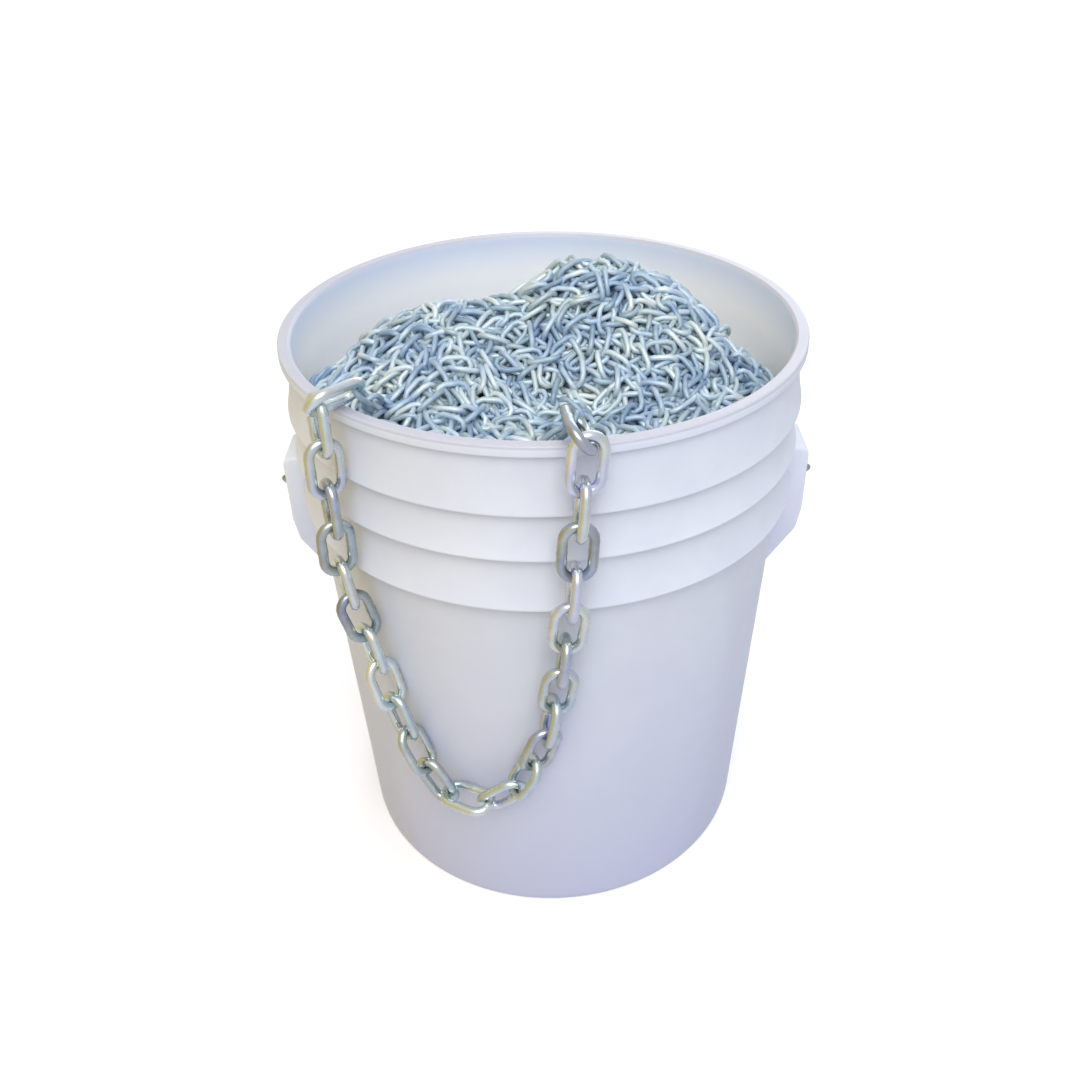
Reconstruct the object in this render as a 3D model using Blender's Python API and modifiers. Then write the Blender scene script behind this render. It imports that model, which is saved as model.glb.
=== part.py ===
"""A white plastic pail heaped with welded steel chain, one length of it looped over the rim.

The pail stands on Z = 0 with its axis on +Z and its bail ears on the X axis. The front of the
pail, where the loop of chain hangs, faces -Y. The wire bail hangs down behind it. All sizes are
in metres.
"""
import math

import bmesh
import bpy
from mathutils import Matrix, Vector

# Driving dimensions of the pail
PAIL_HEIGHT = 0.361
RIM_RADIUS = 0.1515
RIM_WIDTH = 0.0075
LIP_DEPTH = 0.0060
WALL_TOP_Z = 0.2605
WALL_TOP_RADIUS = 0.1440
BASE_RADIUS = 0.1320
BASE_CORNER = 0.010
WALL = 0.0023
FLOOR = 0.0028
PAIL_STEPS = 48

# Stacking ribs below the rim: height of the edge, its radius and the radius that the band starts at
RIBS = (
    (0.3215, 0.1512, 0.1478),
    (0.2945, 0.1510, 0.1470),
    (0.2625, 0.1505, 0.1458),
)
RIB_EDGE = 0.0012

# Bail ears, a boss on each side with a web that runs down to the wall
EAR_FACE_X = 0.1610
EAR_TOP_Z = 0.2800
EAR_FACE_BOTTOM_Z = 0.2370
EAR_FOOT_Z = 0.1980
EAR_HALF_WIDTH = 0.0170
BAIL_AXIS_Z = 0.2580
BAIL_HOLE_RADIUS = 0.0026
BAIL_HOLE_DEPTH = 0.0110

# Wire bail and its hand grip
BAIL_WIRE_RADIUS = 0.0020
BAIL_SIDE_X = 0.1665
BAIL_REACH = 0.2000
BAIL_CORNER = 0.1200
BAIL_BEND = 0.0050
GRIP_RADIUS = 0.0100
GRIP_LENGTH = 0.0920

# Chain: welded link of round wire
WIRE = 0.0055
PITCH = 0.0246
LINK_INSIDE_WIDTH = 0.0102
GAP = 0.0003
CROWN_RADIUS = (LINK_INSIDE_WIDTH + WIRE) / 2
LINK_STRAIGHT = PITCH + WIRE + GAP - 2 * CROWN_RADIUS
CROWN_STEP = PITCH - LINK_STRAIGHT

# Heap of chain: level at the pail's axis, its fall to the back, and the mounds on it, each with
# its place, height and spread
HEAP_LEVEL = 0.3110
HEAP_FALL = 0.301
MOUNDS = (
    ((-0.054, -0.012), 0.0608, 0.1175),
    ((0.0535, -0.001), 0.0753, 0.1035),
    ((0.0195, 0.000), 0.0100, 0.0450),
)
HEAP_STEPS = 24

# Strand of links coiled on the heap, flat and on edge by turns, on a bed that lies deeper. Its
# links are smaller than the hanging loop's by the scale, as they look in the photo. The coil waves
# in and out by a share of its radius, and each link stands on a foot let into the bed
HEAP_LINK_SCALE = 0.66
HEAP_LINK_STEPS = 2
BED_DEPTH = 0.0050
STRAND_SPACING = 0.0178
STRAND_INNER_RADIUS = 0.0080
STRAND_OUTER_RADIUS = 0.1325
STRAND_WAVE = 0.020
STRAND_WAVES = 5
FLAT_LINK_TOP = 0.0006
EDGE_LINK_TOP = 0.0018
FOOT_DEPTH = 0.0160

# Hanging loop: how many links hang, and the route of their joints from the front rim down, round
# and up to the left rim, as angle from the front in degrees, distance from the pail's axis, height,
# and the turn of the links about the route in degrees
LOOP_LINKS = 23
LOOP_ROUTE = (
    (6.9, 0.1628, 0.3691, 15),
    (6.0, 0.1628, 0.3435, 8),
    (5.2, 0.1628, 0.3195, 0),
    (4.6, 0.1627, 0.2960, 0),
    (3.7, 0.1619, 0.2725, 0),
    (2.7, 0.1590, 0.2475, 0),
    (1.6, 0.1545, 0.2215, 0),
    (0.1, 0.1525, 0.1962, 5),
    (-2.2, 0.1512, 0.1725, 15),
    (-5.5, 0.1503, 0.1500, 25),
    (-10.6, 0.1495, 0.1295, 30),
    (-17.6, 0.1491, 0.1165, 20),
    (-25.0, 0.1490, 0.1195, 5),
    (-31.3, 0.1495, 0.1350, 0),
    (-35.3, 0.1503, 0.1575, 0),
    (-38.2, 0.1513, 0.1795, 5),
    (-40.7, 0.1525, 0.2010, 10),
    (-42.7, 0.1545, 0.2250, 10),
    (-43.8, 0.1592, 0.2500, 15),
    (-43.9, 0.1620, 0.2750, 20),
    (-43.7, 0.1626, 0.3000, 20),
    (-43.5, 0.1628, 0.3250, 20),
    (-43.2, 0.1628, 0.3470, 18),
    (-43.0, 0.1628, 0.3691, 15),
)

# Link that lies over the rim and holds an end of the loop: its middle from the loop's last joint
# (inward, sideways and up), its tilt about its length and its slope, in degrees
RIM_LINK_INWARD = 0.0084
RIM_LINK_SIDEWAYS = 0.0037
RIM_LINK_UP = 0.0019
RIM_LINK_TILT = 51
RIM_LINK_SLOPE = 2


def clear_scene():
    """Removes whatever the scene holds."""
    for item in list(bpy.data.objects):
        bpy.data.objects.remove(item, do_unlink=True)


def new_collection(name):
    """Adds a collection to the scene."""
    group = bpy.data.collections.new(name)
    bpy.context.scene.collection.children.link(group)
    return group


def finish_material(name, colour, roughness, metallic):
    """A Principled material from its colour, roughness and metallic value."""
    material = bpy.data.materials.new(name)
    material.use_nodes = True
    shader = material.node_tree.nodes["Principled BSDF"]
    shader.inputs["Base Color"].default_value = (*colour, 1.0)
    shader.inputs["Roughness"].default_value = roughness
    shader.inputs["Metallic"].default_value = metallic
    return material


def add_object(name, data, group, material=None):
    """Links an object for a mesh or a curve."""
    item = bpy.data.objects.new(name, data)
    group.objects.link(item)
    if material is not None:
        data.materials.clear()
        data.materials.append(material)
    return item


def as_cutter(item):
    """Marks an object as a helper that the finished model leaves out."""
    item.hide_render = True
    item.display_type = "WIRE"
    return item


def evaluated_mesh(item):
    """The shape of an object with its modifiers, as a mesh."""
    bpy.context.view_layer.update()
    graph = bpy.context.evaluated_depsgraph_get()
    return bpy.data.meshes.new_from_object(item.evaluated_get(graph))


def frozen_mesh(item):
    """The evaluated shape of an object as a welded mesh."""
    mesh = evaluated_mesh(item)
    bm = bmesh.new()
    bm.from_mesh(mesh)
    bmesh.ops.remove_doubles(bm, verts=bm.verts, dist=0.00001)
    bmesh.ops.recalc_face_normals(bm, faces=bm.faces)
    bm.to_mesh(mesh)
    bm.free()
    return mesh


def boolean(item, tool, operation, solver="EXACT"):
    """Adds a Boolean of a tool object."""
    modifier = item.modifiers.new(operation.title(), "BOOLEAN")
    modifier.operation = operation
    modifier.object = tool
    modifier.solver = solver


def wall_radius(z):
    """Outer radius of the pail's tapered wall at a height."""
    return BASE_RADIUS + (WALL_TOP_RADIUS - BASE_RADIUS) * z / WALL_TOP_Z


def inner_radius(z):
    """Radius of the pail's inside at a height, up to the rim's inner edge."""
    rim = RIM_RADIUS - RIM_WIDTH
    if z <= WALL_TOP_Z:
        return wall_radius(z) - WALL
    share = (z - WALL_TOP_Z) / (PAIL_HEIGHT - WALL_TOP_Z)
    return wall_radius(WALL_TOP_Z) - WALL + (rim - WALL_TOP_RADIUS + WALL) * share


def rib_band(top_z, edge_z, edge_radius, start_radius, steps=4):
    """Outline of one band: it flares out to a sharp edge and steps back under it."""
    points = []
    for i in range(steps):
        t = i / steps
        radius = start_radius + (edge_radius - start_radius) * t ** 2.5
        points.append((radius, top_z + (edge_z + RIB_EDGE - top_z) * t))
    return points + [(edge_radius, edge_z + RIB_EDGE), (edge_radius, edge_z)]


def pail_outline():
    """Section of the pail: down the outside, under the base, and back up the inside."""
    top = PAIL_HEIGHT
    rim = RIM_RADIUS
    points = [(rim - 0.0018, top), (rim - 0.0005, top - 0.0005), (rim, top - 0.0018),
              (rim, top - LIP_DEPTH + 0.0010), (rim - 0.0010, top - LIP_DEPTH)]
    band_top = top - LIP_DEPTH - 0.0006
    for edge_z, edge_radius, start_radius in RIBS:
        points += rib_band(band_top, edge_z, edge_radius, start_radius)
        band_top = edge_z - RIB_EDGE
    points.append((WALL_TOP_RADIUS, WALL_TOP_Z))
    points.append((wall_radius(0.13), 0.13))
    corner_centre = wall_radius(BASE_CORNER) - BASE_CORNER
    for i in range(5):
        turn = math.radians(90 * i / 4)
        points.append((corner_centre + BASE_CORNER * math.cos(turn), BASE_CORNER * (1 - math.sin(turn))))
    points.append((0.0, 0.0))
    points.append((0.0, FLOOR))
    inner_corner = BASE_CORNER - WALL
    for i in range(3):
        turn = math.radians(90 * (2 - i) / 2)
        points.append((inner_radius(BASE_CORNER) - inner_corner * (1 - math.cos(turn)),
                       FLOOR + inner_corner * (1 - math.sin(turn))))
    points.append((inner_radius(WALL_TOP_Z), WALL_TOP_Z))
    points.append((inner_radius(top - 0.0020), top - 0.0020))
    points.append((inner_radius(top) + 0.0020, top))
    return points


def turned_mesh(name, outline, steps, group):
    """Turns a closed section in the XZ plane once round Z."""
    mesh = bpy.data.meshes.new(name)
    bm = bmesh.new()
    verts = [bm.verts.new((radius, 0.0, z)) for radius, z in outline]
    for i, vert in enumerate(verts):
        following = verts[(i + 1) % len(verts)]
        if vert.co.x > 0 or following.co.x > 0:
            bm.edges.new((vert, following))
    bm.to_mesh(mesh)
    bm.free()
    item = add_object(name, mesh, group)
    screw = item.modifiers.new("Screw", "SCREW")
    screw.steps = steps
    screw.render_steps = steps
    screw.use_merge_vertices = True
    screw.merge_threshold = 0.00001
    screw.use_normal_calculate = False
    return item


def ear_tool(name, side, helpers):
    """Ear as a flat outline in the XZ plane, pulled to its width; side is +1 or -1."""
    outline = [(0.1429, EAR_TOP_Z + 0.0015), (0.1565, EAR_TOP_Z + 0.0010), (0.1600, EAR_TOP_Z - 0.0005),
               (EAR_FACE_X, EAR_TOP_Z - 0.0040), (EAR_FACE_X, EAR_FACE_BOTTOM_Z),
               (0.1585, EAR_FACE_BOTTOM_Z - 0.0150), (0.1425, EAR_FOOT_Z), (0.1396, EAR_FOOT_Z - 0.0010)]
    curve = bpy.data.curves.new(name, "CURVE")
    curve.dimensions = "2D"
    curve.fill_mode = "BOTH"
    curve.extrude = EAR_HALF_WIDTH
    spline = curve.splines.new("POLY")
    spline.points.add(len(outline) - 1)
    for point, (x, z) in zip(spline.points, outline):
        point.co = (x, z, 0.0, 1.0)
    spline.use_cyclic_u = True
    guide = add_object(name + "_outline", curve, helpers)
    mesh = frozen_mesh(guide)
    bpy.data.objects.remove(guide, do_unlink=True)
    turn = 0.0 if side > 0 else math.pi
    mesh.transform(Matrix.Rotation(turn, 4, "Z") @ Matrix.Rotation(math.pi / 2, 4, "X"))
    return as_cutter(add_object(name, mesh, helpers))


def hole_tool(name, side, helpers):
    """Blind hole in an ear's face for the end of the bail, along X."""
    mesh = bpy.data.meshes.new(name)
    bm = bmesh.new()
    length = BAIL_HOLE_DEPTH + 0.01
    middle = side * (EAR_FACE_X - BAIL_HOLE_DEPTH + length / 2)
    place = Matrix.Translation((middle, 0.0, BAIL_AXIS_Z)) @ Matrix.Rotation(math.pi / 2, 4, "Y")
    bmesh.ops.create_cone(bm, cap_ends=True, segments=12, radius1=BAIL_HOLE_RADIUS,
                          radius2=BAIL_HOLE_RADIUS, depth=length, matrix=place)
    bm.to_mesh(mesh)
    bm.free()
    return as_cutter(add_object(name, mesh, helpers))


def make_pail(group, helpers, material):
    """Pail with its rim, ribs and bail ears, in one moulding."""
    turned = turned_mesh("pail_turned", pail_outline(), PAIL_STEPS, helpers)
    mesh = frozen_mesh(turned)
    bpy.data.objects.remove(turned, do_unlink=True)
    pail = add_object("pail", mesh, group, material)
    for side, word in ((1, "right"), (-1, "left")):
        boolean(pail, ear_tool("ear_" + word, side, helpers), "UNION")
        boolean(pail, hole_tool("hole_" + word, side, helpers), "DIFFERENCE")
    return pail


def rest_angle():
    """Angle below level at which the bail's grip lies on the pail's back wall."""
    angle = math.radians(42)
    for _ in range(20):
        z = BAIL_AXIS_Z - BAIL_REACH * math.sin(angle)
        angle = math.acos((wall_radius(z) + GRIP_RADIUS + 2 * GAP) / BAIL_REACH)
    return angle


def bail_points():
    """Bail in its own plane, from one end to the middle: distance out along X, then reach."""
    tip = EAR_FACE_X - BAIL_HOLE_DEPTH + 0.001
    points = [(tip, 0.0), (BAIL_SIDE_X - BAIL_BEND, 0.0)]
    for i in (1, 2, 3):
        turn = math.radians(30 * i)
        points.append((BAIL_SIDE_X - BAIL_BEND * (1 - math.sin(turn)), BAIL_BEND * (1 - math.cos(turn))))
    straight = BAIL_REACH - BAIL_CORNER
    points.append((BAIL_SIDE_X, straight / 2))
    for i in range(9):
        turn = math.radians(90 * i / 8)
        across = BAIL_SIDE_X - BAIL_CORNER * (1 - math.cos(turn))
        points.append((across, straight + BAIL_CORNER * math.sin(turn)))
    return points


def bail_place():
    """Turns a shape in the bail's plane, X and reach along Y, to where the bail hangs."""
    return Matrix.Translation((0.0, 0.0, BAIL_AXIS_Z)) @ Matrix.Rotation(-rest_angle(), 4, "X")


def wire_curve(name, points, radius, sides_level, cyclic=False):
    """A round wire along points, with filled ends."""
    curve = bpy.data.curves.new(name, "CURVE")
    curve.dimensions = "3D"
    curve.bevel_depth = radius
    curve.bevel_resolution = sides_level
    curve.use_fill_caps = not cyclic
    spline = curve.splines.new("POLY")
    spline.points.add(len(points) - 1)
    for point, place in zip(spline.points, points):
        point.co = (*place, 1.0)
    spline.use_cyclic_u = cyclic
    return curve


def make_bail(group, material):
    """Wire bail: one bent wire whose ends turn into the ears."""
    half = bail_points()
    points = [(x, reach, 0.0) for x, reach in half] + [(-x, reach, 0.0) for x, reach in reversed(half)]
    bail = add_object("bail_wire", wire_curve("bail_wire", points, BAIL_WIRE_RADIUS, 2), group, material)
    bail.matrix_world = bail_place()
    return bail


def make_grip(group, material):
    """Hand grip: a ribless sleeve round the middle of the bail."""
    half = GRIP_LENGTH / 2
    inner = BAIL_WIRE_RADIUS + GAP
    outline = [(GRIP_RADIUS - 0.001, half), (GRIP_RADIUS, half - 0.001), (GRIP_RADIUS, -half + 0.001),
               (GRIP_RADIUS - 0.001, -half), (inner, -half), (inner, half)]
    grip = turned_mesh("bail_grip", outline, 20, group)
    grip.data.materials.append(material)
    along_x = Matrix.Rotation(math.pi / 2, 4, "Y")
    grip.matrix_world = bail_place() @ Matrix.Translation((0.0, BAIL_REACH, 0.0)) @ along_x
    return grip


def link_points(steps):
    """Centre line of one link, long way along X, flat in the XY plane."""
    points = []
    for end in (1, -1):
        for i in range(steps + 1):
            turn = math.radians(-90 + 180 * i / steps)
            points.append((end * (LINK_STRAIGHT / 2 + CROWN_RADIUS * math.cos(turn)),
                           end * CROWN_RADIUS * math.sin(turn), 0.0))
    return points


def loop_places(sag):
    """The loop's route as points in space with the turn at each, its depth times sag."""
    places = []
    top = LOOP_ROUTE[0][2]
    for angle, radius, z, turn in LOOP_ROUTE:
        a = math.radians(angle)
        height = top - (top - z) * sag
        places.append((Vector((radius * math.sin(a), -radius * math.cos(a), height)), turn))
    return places


def smooth_route(places, parts=24):
    """A smooth curve through the places, as many close points."""
    curve = []
    last = len(places) - 1
    for i in range(last):
        p0, p1 = places[max(i - 1, 0)][0], places[i][0]
        p2, p3 = places[i + 1][0], places[min(i + 2, last)][0]
        for k in range(parts):
            t = k / parts
            point = 0.5 * (2 * p1 + (p2 - p0) * t + (2 * p0 - 5 * p1 + 4 * p2 - p3) * t * t
                           + (3 * p1 - p0 - 3 * p2 + p3) * t ** 3)
            curve.append((point, places[i][1] + (places[i + 1][1] - places[i][1]) * t))
    return curve + [places[last]]


def chain_joints(curve, pitch):
    """Points one pitch apart along a curve, each with its turn."""
    joints = [curve[0]]
    for i in range(1, len(curve)):
        start, here = curve[i - 1], curve[i]
        while (here[0] - joints[-1][0]).length >= pitch:
            low, high = 0.0, 1.0
            for _ in range(30):
                t = (low + high) / 2
                if (start[0].lerp(here[0], t) - joints[-1][0]).length < pitch:
                    low = t
                else:
                    high = t
            joints.append((start[0].lerp(here[0], high), start[1] + (here[1] - start[1]) * high))
    return joints


def link_normal(along, outward, turn):
    """Direction that a link's flat side faces: outward, turned about its length in degrees."""
    facing = (outward - along * outward.dot(along)).normalized()
    side = facing.cross(along)
    angle = math.radians(turn)
    return facing * math.cos(angle) + side * math.sin(angle)


def link_matrix(middle, along, normal):
    """Puts a link at its middle, from its long direction and the direction that it faces."""
    matrix = Matrix((along, normal.cross(along), normal)).transposed().to_4x4()
    matrix.translation = middle
    return matrix


def place_ahead(curve, here, start, distance):
    """The first place along the curve that is a distance from a point, and its index."""
    for i in range(here, len(curve) - 1):
        if (curve[i + 1][0] - start).length >= distance:
            low, high = 0.0, 1.0
            for _ in range(30):
                t = (low + high) / 2
                if (curve[i][0].lerp(curve[i + 1][0], t) - start).length < distance:
                    low = t
                else:
                    high = t
            return i, curve[i][0].lerp(curve[i + 1][0], high), curve[i + 1][1]
    return None


def hang_links(curve):
    """Links hung along a curve, each bearing on the crown of the one before it: middle, along, normal."""
    links = []
    here, crown, normal = 0, None, None
    along = (curve[8][0] - curve[0][0]).normalized()
    while True:
        start = curve[0][0] + along * CROWN_STEP / 2 if crown is None else crown + along * CROWN_STEP
        for _ in range(12):
            ahead = place_ahead(curve, here, start, LINK_STRAIGHT + CROWN_STEP / 2)
            if ahead is None:
                return links
            along = (ahead[1] - start).normalized()
            middle = start + along * LINK_STRAIGHT / 2
            outward = Vector((middle.x, middle.y, 0.0))
            facing = link_normal(along, outward, ahead[2] + 90 * (len(links) % 2))
            if crown is None:
                start = curve[0][0] + along * CROWN_STEP / 2
                continue
            bearing = normal.cross(facing).normalized()
            if bearing.dot(along) < 0:
                bearing = -bearing
            start = crown + bearing * CROWN_STEP
        here, normal = ahead[0], facing
        crown = start + along * LINK_STRAIGHT
        links.append((start + along * LINK_STRAIGHT / 2, along, normal))


def rim_link_matrix(joint, side):
    """Puts the link that lies over the rim beside an end of the loop; side is +1 or -1."""
    outward = Vector((joint.x, joint.y, 0.0)).normalized()
    sideways = Vector((0.0, 0.0, 1.0)).cross(outward)
    frame = Matrix((outward, sideways, Vector((0.0, 0.0, 1.0)))).transposed().to_4x4()
    frame.translation = (joint - RIM_LINK_INWARD * outward + side * RIM_LINK_SIDEWAYS * sideways
                         + Vector((0.0, 0.0, RIM_LINK_UP)))
    tilt = Matrix.Rotation(math.radians(side * RIM_LINK_TILT), 4, "X")
    slope = Matrix.Rotation(math.radians(-RIM_LINK_SLOPE), 4, "Y")
    return frame @ slope @ tilt


def loop_links():
    """The loop's links, its sag set so that the last one ends just at the left rim."""
    short, long = 0.8, 1.2
    for _ in range(30):
        sag = (short + long) / 2
        if len(hang_links(smooth_route(loop_places(sag)))) >= LOOP_LINKS:
            long = sag
        else:
            short = sag
    return hang_links(smooth_route(loop_places(long)))[:LOOP_LINKS]


def make_loop(group, material):
    """The hanging loop: separate links, each turned a quarter from the one before it."""
    curve = wire_curve("loop_link", link_points(6), WIRE / 2, 1, cyclic=True)
    links = loop_links()
    for i, (middle, along, normal) in enumerate(links):
        link = add_object("loop_link_{:02d}".format(i + 1), curve, group, material)
        link.matrix_world = link_matrix(middle, along, normal)
    first = links[0][0] - links[0][1] * PITCH / 2
    last = links[-1][0] + links[-1][1] * PITCH / 2
    for name, joint, side in (("rim_link_front", first, -1), ("rim_link_left", last, 1)):
        add_object(name, curve, group, material).matrix_world = rim_link_matrix(joint, side)


def heap_height(x, y):
    """Height of the heap's surface over a point."""
    z = HEAP_LEVEL - HEAP_FALL * y
    for (cx, cy), height, spread in MOUNDS:
        away = math.hypot(x - cx, y - cy)
        if away < spread:
            z += height * math.cos(math.pi * away / (2 * spread)) ** 2
    return z


def mound_mesh(name, helpers):
    """The inside of the heap: it fills the pail up to the bed that the coiled strand lies on."""
    radii = (0.0, 0.018, 0.037, 0.056, 0.075, 0.094, 0.112, 0.129)
    corner = BASE_CORNER - WALL
    wall = inner_radius(BASE_CORNER) - GAP
    outline = [(radius, PAIL_HEIGHT) for radius in radii] + [(RIM_RADIUS - RIM_WIDTH, PAIL_HEIGHT)]
    outline += [(inner_radius(WALL_TOP_Z) - GAP, WALL_TOP_Z), (wall, FLOOR + GAP + corner),
                (wall - corner, FLOOR + GAP), (0.0, FLOOR + GAP)]
    turned = turned_mesh(name, outline, HEAP_STEPS, helpers)
    mesh = frozen_mesh(turned)
    bpy.data.objects.remove(turned, do_unlink=True)
    for vert in mesh.vertices:
        if vert.co.z < PAIL_HEIGHT - GAP:
            continue
        at_wall = vert.co.xy.length > radii[-1] + GAP
        vert.co.z = heap_height(vert.co.x, vert.co.y) - BED_DEPTH
        if at_wall:
            vert.co.xy = vert.co.xy.normalized() * (inner_radius(vert.co.z) - GAP)
    return mesh


def heap_normal(x, y):
    """Direction that the heap's surface faces over a point."""
    step = 0.002
    rise_x = (heap_height(x + step, y) - heap_height(x - step, y)) / (2 * step)
    rise_y = (heap_height(x, y + step) - heap_height(x, y - step)) / (2 * step)
    return Vector((-rise_x, -rise_y, 1.0)).normalized()


def strand_joints():
    """Joints of the strand that lies coiled on the heap, from the middle out to the wall."""
    curve = []
    steps = 2400
    for i in range(steps):
        share = math.sqrt(i / steps)
        radius = STRAND_INNER_RADIUS + (STRAND_OUTER_RADIUS - STRAND_INNER_RADIUS) * share
        angle = 2 * math.pi * radius / STRAND_SPACING
        radius *= 1 - STRAND_WAVE * (1 + math.cos(STRAND_WAVES * angle))
        x, y = radius * math.cos(angle), radius * math.sin(angle)
        curve.append((Vector((x, y, heap_height(x, y))), 0))
    return chain_joints(curve, PITCH * HEAP_LINK_SCALE)


def link_outline(offset):
    """Outline of a link seen flat, at a distance outside its centre line."""
    radius = CROWN_RADIUS + offset
    outline = []
    for end in (1, -1):
        for i in range(HEAP_LINK_STEPS + 1):
            turn = math.radians(-90 + 180 * i / HEAP_LINK_STEPS)
            reach = LINK_STRAIGHT / 2 + radius * math.cos(turn)
            outline.append((end * reach, end * radius * math.sin(turn)))
    return outline


def flat_shape(name, outlines, thickness, helpers):
    """A flat shape in the XY plane from its outlines, the inner ones its holes."""
    curve = bpy.data.curves.new(name, "CURVE")
    curve.dimensions = "2D"
    curve.fill_mode = "BOTH"
    curve.extrude = thickness / 2
    for outline in outlines:
        spline = curve.splines.new("POLY")
        spline.points.add(len(outline) - 1)
        for point, (x, y) in zip(spline.points, outline):
            point.co = (x, y, 0.0, 1.0)
        spline.use_cyclic_u = True
    item = add_object(name, curve, helpers)
    mesh = frozen_mesh(item)
    bpy.data.objects.remove(item, do_unlink=True)
    mesh.transform(Matrix.Scale(HEAP_LINK_SCALE, 4))
    return mesh


def edge_outline():
    """Outline of a link seen from its side, the upper half of it with straight ends below."""
    reach, half = LINK_STRAIGHT / 2 + CROWN_RADIUS + WIRE / 2, LINK_STRAIGHT / 2
    top, foot = CROWN_RADIUS + WIRE / 2, -FOOT_DEPTH
    return [(-reach, foot), (reach, foot), (reach, 0.0), (half, top), (-half, top), (-reach, 0.0)]


def strand_tool(name, joints, on_edge, helpers):
    """Every second link of the coiled strand, flat or on edge, as one helper."""
    if on_edge:
        link = flat_shape(name + "_link", [edge_outline()], WIRE, helpers)
        link.transform(Matrix.Rotation(math.pi / 2, 4, "X"))
        rise = EDGE_LINK_TOP - (CROWN_RADIUS + WIRE / 2) * HEAP_LINK_SCALE
    else:
        outlines = [link_outline(WIRE / 2), link_outline(-WIRE / 2)]
        link = flat_shape(name + "_link", outlines, FOOT_DEPTH, helpers)
        rise = FLAT_LINK_TOP - FOOT_DEPTH / 2 * HEAP_LINK_SCALE
    joined = bmesh.new()
    for i in range(1 if on_edge else 0, len(joints) - 1, 2):
        copy = link.copy()
        start, end = joints[i][0], joints[i + 1][0]
        along = (end - start).normalized()
        middle = (start + end) / 2
        facing = link_normal(along, heap_normal(middle.x, middle.y), 0)
        copy.transform(link_matrix(middle + facing * rise, along, facing))
        joined.from_mesh(copy)
        bpy.data.meshes.remove(copy)
    mesh = bpy.data.meshes.new(name)
    joined.to_mesh(mesh)
    joined.free()
    return as_cutter(add_object(name, mesh, helpers))


def fill_pockets(mesh):
    """Leaves only the largest shell of a mesh, so that pockets closed in between links are solid."""
    shape = bmesh.new()
    shape.from_mesh(mesh)
    left, shells = set(shape.faces), []
    while left:
        front = [left.pop()]
        shell = list(front)
        while front:
            beside = {face for edge in front.pop().edges for face in edge.link_faces} & left
            left -= beside
            front += beside
            shell += beside
        shells.append(shell)
    largest = max(shells, key=len)
    small = [face for shell in shells if shell is not largest for face in shell]
    bmesh.ops.delete(shape, geom=small, context="FACES")
    shape.to_mesh(mesh)
    shape.free()


def make_heap(group, helpers, material):
    """The heap in the pail: a coiled strand of links on a solid inside that stands for the rest."""
    joints = strand_joints()
    heap = add_object("chain_heap", mound_mesh("chain_heap", helpers), group, material)
    for on_edge, word in ((False, "flat"), (True, "on_edge")):
        boolean(heap, strand_tool("strand_" + word, joints, on_edge, helpers), "UNION", "MANIFOLD")
    mesh = evaluated_mesh(heap)
    fill_pockets(mesh)
    heap.modifiers.clear()
    heap.data = mesh
    return heap


def main():
    """Builds the pail, its bail and the chain."""
    clear_scene()
    group = new_collection("pail_of_chain")
    helpers = new_collection("pail_of_chain_tools")
    white = finish_material("white_polyethylene", (0.80, 0.82, 0.88), 0.42, 0.0)
    grip_white = finish_material("white_grip_plastic", (0.82, 0.83, 0.86), 0.45, 0.0)
    wire = finish_material("galvanised_wire", (0.42, 0.43, 0.44), 0.38, 1.0)
    zinc = finish_material("zinc_plated_steel", (0.62, 0.70, 0.74), 0.28, 1.0)
    make_pail(group, helpers, white)
    make_bail(group, wire)
    make_grip(group, grip_white)
    make_heap(group, helpers, zinc)
    make_loop(group, zinc)


main()
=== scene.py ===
"""White plastic pail heaped with zinc-plated steel chain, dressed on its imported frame.

The pail, its bail and grip, the links of the hanging loop and the heap of links are built here at
real size, in metres, in the frame's own axes: Z up along the pail, the loop towards -Y.
"""
from __future__ import annotations

import logging
import math
from dataclasses import dataclass
from enum import Enum
from typing import Iterable, Sequence

import bmesh
import bpy
import numpy as np
from bmesh.types import BMEdge, BMesh, BMVert
from bpy.types import ID, Material, Mesh, Node, NodeSocket, NodeTree, Object
from mathutils import Matrix, Vector


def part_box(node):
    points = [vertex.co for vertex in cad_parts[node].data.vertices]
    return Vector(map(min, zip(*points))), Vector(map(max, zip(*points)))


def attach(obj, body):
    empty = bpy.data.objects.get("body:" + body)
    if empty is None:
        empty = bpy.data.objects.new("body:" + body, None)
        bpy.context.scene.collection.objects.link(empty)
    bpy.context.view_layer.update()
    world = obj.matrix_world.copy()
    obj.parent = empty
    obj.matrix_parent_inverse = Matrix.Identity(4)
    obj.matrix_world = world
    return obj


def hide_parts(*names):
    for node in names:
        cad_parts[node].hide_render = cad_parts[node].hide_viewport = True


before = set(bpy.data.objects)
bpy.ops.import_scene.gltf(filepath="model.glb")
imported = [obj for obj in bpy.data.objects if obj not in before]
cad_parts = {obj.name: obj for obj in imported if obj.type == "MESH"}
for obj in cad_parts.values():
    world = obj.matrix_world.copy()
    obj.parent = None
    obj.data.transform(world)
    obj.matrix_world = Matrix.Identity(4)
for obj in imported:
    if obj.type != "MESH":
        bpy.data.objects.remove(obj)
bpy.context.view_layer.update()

log = logging.getLogger("pail_of_chain")
PICTURE_PIXELS = 1080
STRAIGHT_FROM_DEGREES = 176
ROUND_SHARE_OF_SIDE = 0.49


class Body(Enum):
    """Rigid bodies of the frame that pieces ride on."""

    PAIL = "pail_with_chain"
    BAIL = "bail"


class Slot(Enum):
    """Material slots of the record."""

    PAIL = "pail_plastic"
    WIRE = "bail_wire"
    GRIP = "grip_plastic"
    CHAIN = "zinc_plated_chain"


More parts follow.
